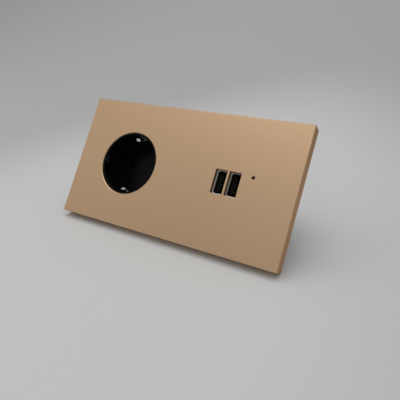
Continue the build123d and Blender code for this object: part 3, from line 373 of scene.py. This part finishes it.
winding_tape = finish(
    "yellow winding tape",
    (0.70, 0.50, 0.04),
    (0.82, 0.62, 0.07),
    (0.88, 0.72, 0.18),
    roughness=(0.20, 0.32),
    grain=(200, 3000, 200),
    depth=0.000015,
)
dress(winding_tape, "transformer_winding")

can_sleeve = finish(
    "dark blue sleeve",
    (0.020, 0.028, 0.075),
    (0.032, 0.042, 0.11),
    (0.09, 0.10, 0.20),
    roughness=(0.18, 0.30),
    grain=(300, 2400, 300),
    depth=0.000006,
)
dress(can_sleeve, "input_capacitor", "output_capacitors", "fuse")

# Screw terminals: a two-pole block of blue-grey plastic in a bay at the foot of the charger's body, with a brass
# cage and a slotted screw for each wire.
block_plastic = finish(
    "blue-grey moulding",
    (0.085, 0.19, 0.36),
    (0.11, 0.235, 0.44),
    (0.20, 0.33, 0.54),
    roughness=(0.36, 0.50),
    grain=(2400, 2400, 2400),
    depth=0.000008,
)
dress(block_plastic, "terminal_block")
dress(brass, "terminal_cages")
dress(screw_steel, "terminal_screws")

# Charging ports: shells folded from nickel-plated steel round a dark tongue, with four gold-plated contacts each.
# The shell's mouth is flared all round, so that a plug finds its way in.
shell_steel = finish(
    "folded shell steel",
    (0.56, 0.54, 0.51),
    (0.70, 0.68, 0.64),
    (0.88, 0.86, 0.82),
    roughness=(0.16, 0.28),
    grain=(900, 4200, 900),
    depth=0.000002,
    edge=0.0001,
    Metallic=1.0,
)
dress(shell_steel, "left_port_shell", "right_port_shell")

tongue_plastic = finish(
    "port tongue",
    (0.0026, 0.0022, 0.0018),
    (0.0050, 0.0044, 0.0036),
    (0.012, 0.010, 0.009),
    roughness=(0.36, 0.50),
    grain=(2600, 2600, 2600),
    depth=0.000006,
    Specular_IOR_Level=0.06,
)
dress(tongue_plastic, "left_port_tongue", "right_port_tongue")

# Gold of the port contacts: painted darker than bare gold plating, as painted shade deep inside the ports.
gold = finish(
    "gold plating",
    (0.46, 0.35, 0.19),
    (0.60, 0.46, 0.26),
    (0.74, 0.60, 0.38),
    roughness=(0.22, 0.34),
    grain=(900, 4200, 900),
    depth=0.000001,
    edge=0.0001,
    Metallic=1.0,
)
dress(gold, "left_port_contacts", "right_port_contacts")

# Pilot light: a smoked clear rod behind the cover's smallest hole, lit by a chip on the port board. While the
# light is off the hole looks black.
ACRYLIC_IOR = 1.49
clear_rod = bpy.data.materials.new("smoked clear rod")
clear_rod.use_nodes = True
rod_tree = clear_rod.node_tree
rod_shader = rod_tree.nodes["Principled BSDF"]
rod_shader.inputs["Base Color"].default_value = (0.012, 0.009, 0.008, 1)
rod_shader.inputs["Transmission Weight"].default_value = 1.0
rod_shader.inputs["IOR"].default_value = ACRYLIC_IOR
rod_shader.inputs["Specular IOR Level"].default_value = 0.15
rod_grain = place(rod_tree, "ShaderNodeGroup", {}, node_tree=GRAIN)
rod_limits = {"Value": rod_grain["Tone"], "To Min": 0.05, "To Max": 0.14}
rod_tree.links.new(place(rod_tree, "ShaderNodeMapRange", rod_limits)[0], rod_shader.inputs["Roughness"])
dress(clear_rod, "light_pipe")

lamp_chip = finish(
    "lamp chip",
    (0.70, 0.70, 0.62),
    (0.82, 0.82, 0.74),
    (0.90, 0.90, 0.84),
    roughness=(0.24, 0.36),
    grain=(3000, 3000, 3000),
    depth=0.000004,
)
dress(lamp_chip, "pilot_lamp")

# Studs and clips: four turned brass studs, pressed into the cover's bosses, snap into spring clips on the frames, so
# that the cover shows no screw.
dress(brass, "cover_studs")
dress(spring_steel, "cover_clips")

# Cover: one block of aluminium, milled, brushed along its length, bead-blasted a little and anodised a pale
# champagne. Its cut edges are a touch lighter, and are painted lighter still as a painted highlight.
champagne = finish(
    "champagne anodised aluminium",
    (0.575, 0.390, 0.240),
    (0.625, 0.426, 0.264),
    # edge colour: a touch lighter than the face, and lighter still as a painted highlight on the cut edges
    (0.82, 0.68, 0.54),
    roughness=(0.38, 0.46),
    grain=(260, 9000, 9000),
    depth=0.000004,
    edge=0.00025,
    detail=3.0,
    Metallic=1.0,
    Specular_Tint=(0.60, 0.445, 0.40, 1),
)
dress(champagne, "cover_plate")

# Paper sweep: pale paper that the outlet stands on. The outlet leans back 34 degrees, so the room is turned about
# the long axis instead, and its floor passes under the cover's lower back edge and the base's. It rises behind in
# one large curve, is palest round the outlet, and lets the lamp under it shine through. Its colour darkens away
# from the outlet, most on the right: painted shade where the light falls off.
LEAN = math.radians(34.0)
COVER_HEEL = Vector((0.0, 0.0, -0.0405))
FLOOR_GAP = 0.00005
SWEEP_FRONT = -1.6
SWEEP_START = 0.3
SWEEP_RADIUS = 1.2
SWEEP_HALF_WIDTH = 1.8
SWEEP_STEPS = 18
room = Matrix.Translation(COVER_HEEL) @ Matrix.Rotation(LEAN, 4, "X") @ Matrix.Translation((0, 0, -FLOOR_GAP))

floor_profile = [(SWEEP_FRONT, 0.0), (SWEEP_START, 0.0)]
for step in range(1, SWEEP_STEPS + 1):
    turn = math.radians(90 * step / SWEEP_STEPS)
    floor_profile.append((SWEEP_START + SWEEP_RADIUS * math.sin(turn), SWEEP_RADIUS * (1 - math.cos(turn))))
sweep_points = [(x, y, z) for y, z in floor_profile for x in (-SWEEP_HALF_WIDTH, SWEEP_HALF_WIDTH)]
sweep_faces = [(2 * n, 2 * n + 1, 2 * n + 3, 2 * n + 2) for n in range(len(floor_profile) - 1)]
sweep_mesh = bpy.data.meshes.new("sweep")
sweep_mesh.from_pydata(sweep_points, [], sweep_faces)
sweep_mesh.shade_smooth()
sweep = bpy.data.objects.new("sweep", sweep_mesh)
sweep.matrix_world = room
bpy.context.scene.collection.objects.link(sweep)

# The near colour is the paper's own; the far colours are painted shade, darker on the right than on the left.
PAPER_NEAR = (0.562, 0.562, 0.557)
PAPER_SHADE_FAR_LEFT = (0.467, 0.467, 0.467)
PAPER_SHADE_FAR_RIGHT = (0.405, 0.405, 0.405)
PALE_MIDDLE = (-0.021, 0.025, 0.0)
PALE_SHAPE = (1.0, 0.42, 0.0)
PALE_REACH = 0.093
FAR_REACH = 0.278
FAR_LEFT_X = -1.2
FAR_RIGHT_X = 0.0
paper = bpy.data.materials.new("paper sweep")
paper.use_nodes = True
paper_tree = paper.node_tree
paper_shader = paper_tree.nodes["Principled BSDF"]
on_paper = place(paper_tree, "ShaderNodeTexCoord", {})["Object"]
offset = place(paper_tree, "ShaderNodeVectorMath", {0: on_paper, 1: PALE_MIDDLE}, operation="SUBTRACT")[0]
offset = place(paper_tree, "ShaderNodeVectorMath", {0: offset, 1: PALE_SHAPE}, operation="MULTIPLY")[0]
away = place(paper_tree, "ShaderNodeVectorMath", {0: offset}, operation="LENGTH")["Value"]
fade = {"Value": away, "From Min": PALE_REACH, "From Max": FAR_REACH}
painted_falloff = place(paper_tree, "ShaderNodeMapRange", fade, interpolation_type="SMOOTHSTEP")[0]
sideways = place(paper_tree, "ShaderNodeSeparateXYZ", {0: on_paper})["X"]
across_limits = {"Value": sideways, "From Min": FAR_LEFT_X, "From Max": FAR_RIGHT_X}
across = place(paper_tree, "ShaderNodeMapRange", across_limits)[0]
painted_far_shade = blend_colours(paper_tree, across, PAPER_SHADE_FAR_LEFT, PAPER_SHADE_FAR_RIGHT)
tones = {0: painted_falloff, 6: (*PAPER_NEAR, 1), 7: painted_far_shade}
paper_tone = place(paper_tree, "ShaderNodeMix", tones, data_type="RGBA")[2]
paper_tree.links.new(paper_tone, paper_shader.inputs["Base Color"])
paper_shader.inputs["Roughness"].default_value = 0.85
paper_shader.inputs["Specular IOR Level"].default_value = 0.2
behind = place(paper_tree, "ShaderNodeNewGeometry", {})["Backfacing"]
shadow_ray = place(paper_tree, "ShaderNodeLightPath", {})["Is Shadow Ray"]
see_through = place(paper_tree, "ShaderNodeMath", {0: behind, 1: shadow_ray}, operation="MAXIMUM")[0]
clear = place(paper_tree, "ShaderNodeBsdfTransparent", {})[0]
one_sided = place(paper_tree, "ShaderNodeMixShader", {0: see_through, 1: paper_shader.outputs[0], 2: clear})
paper_tree.links.new(one_sided[0], paper_tree.nodes["Material Output"].inputs["Surface"])
sweep_mesh.materials.append(paper)


# Lamps: a broad softbox overhead gives most of the light. Two smaller ones from the left and the front lift the
# cover's lower half, and one behind, under the floor, lights the housings for the views from there.
def hang_lamp(name, at, towards, size, watts):
    """A soft lamp, at a place in the room and turned to another, both in metres from the cover's heel."""
    lamp = bpy.data.lights.new(name, "AREA")
    lamp.shape = "RECTANGLE"
    lamp.size, lamp.size_y = size
    lamp.energy = watts
    holder = bpy.data.objects.new(name, lamp)
    bpy.context.scene.collection.objects.link(holder)
    aim = (Vector(at) - Vector(towards)).to_track_quat("Z", "Y").to_matrix().to_4x4()
    holder.matrix_world = room @ Matrix.Translation(at) @ aim


hang_lamp("overhead softbox", (-0.18, 0.06, 1.2), (0, 0, 0), (1.5, 1.2), 7.75)
hang_lamp("side softbox", (-1.25, -0.75, 0.85), (0, 0, 0.03), (0.9, 0.9), 1.0)
hang_lamp("front softbox", (-0.25, -1.15, 1.05), (0, 0, 0.03), (0.6, 0.6), 0.4)
hang_lamp("lamp behind", (0.2, 0.9, -0.9), (0, 0, 0), (1.0, 1.0), 5.0)

# Studio walls: an even grey all round. The camera, mirrors and glass see it a little darker than the light that it
# gives to plain surfaces.
WALLS_AS_LIGHT = (0.55, 0.55, 0.55)
WALLS_AS_SEEN = (0.40, 0.40, 0.40)
world = bpy.context.scene.world or bpy.data.worlds.new("studio")
bpy.context.scene.world = world
world.use_nodes = True
world_tree = world.node_tree
path = place(world_tree, "ShaderNodeLightPath", {})
seen = place(world_tree, "ShaderNodeMath", {0: path["Is Camera Ray"], 1: path["Is Glossy Ray"]}, operation="MAXIMUM")
seen = place(world_tree, "ShaderNodeMath", {0: seen[0], 1: path["Is Transmission Ray"]}, operation="MAXIMUM")
walls = blend_colours(world_tree, seen[0], WALLS_AS_LIGHT, WALLS_AS_SEEN)
world_tree.links.new(walls, world_tree.nodes["Background"].inputs["Color"])

# Camera: stands to the right of the cover and above it. Its place, its three directions and its lens were fitted to
# the cover's corners and the well's outline.
SENSOR_WIDTH = 36.0
FOCAL_LENGTH = 36.603
CAMERA_PLACE = (0.128248, -0.215648, -0.035990)
CAMERA_RIGHT = (0.86713, 0.41281, 0.27870)
CAMERA_UP = (-0.20601, -0.21220, 0.95526)
CAMERA_BACK = (0.45349, -0.88575, -0.09896)
camera_data = bpy.data.cameras.new("camera")
camera_data.sensor_width = SENSOR_WIDTH
camera_data.lens = FOCAL_LENGTH
camera = bpy.data.objects.new("camera", camera_data)
bpy.context.scene.collection.objects.link(camera)
camera_turn = Matrix((CAMERA_RIGHT, CAMERA_UP, CAMERA_BACK)).transposed().to_4x4()
camera.matrix_world = Matrix.Translation(CAMERA_PLACE) @ camera_turn
bpy.context.scene.camera = camera
bpy.context.scene.view_settings.view_transform = "Standard"
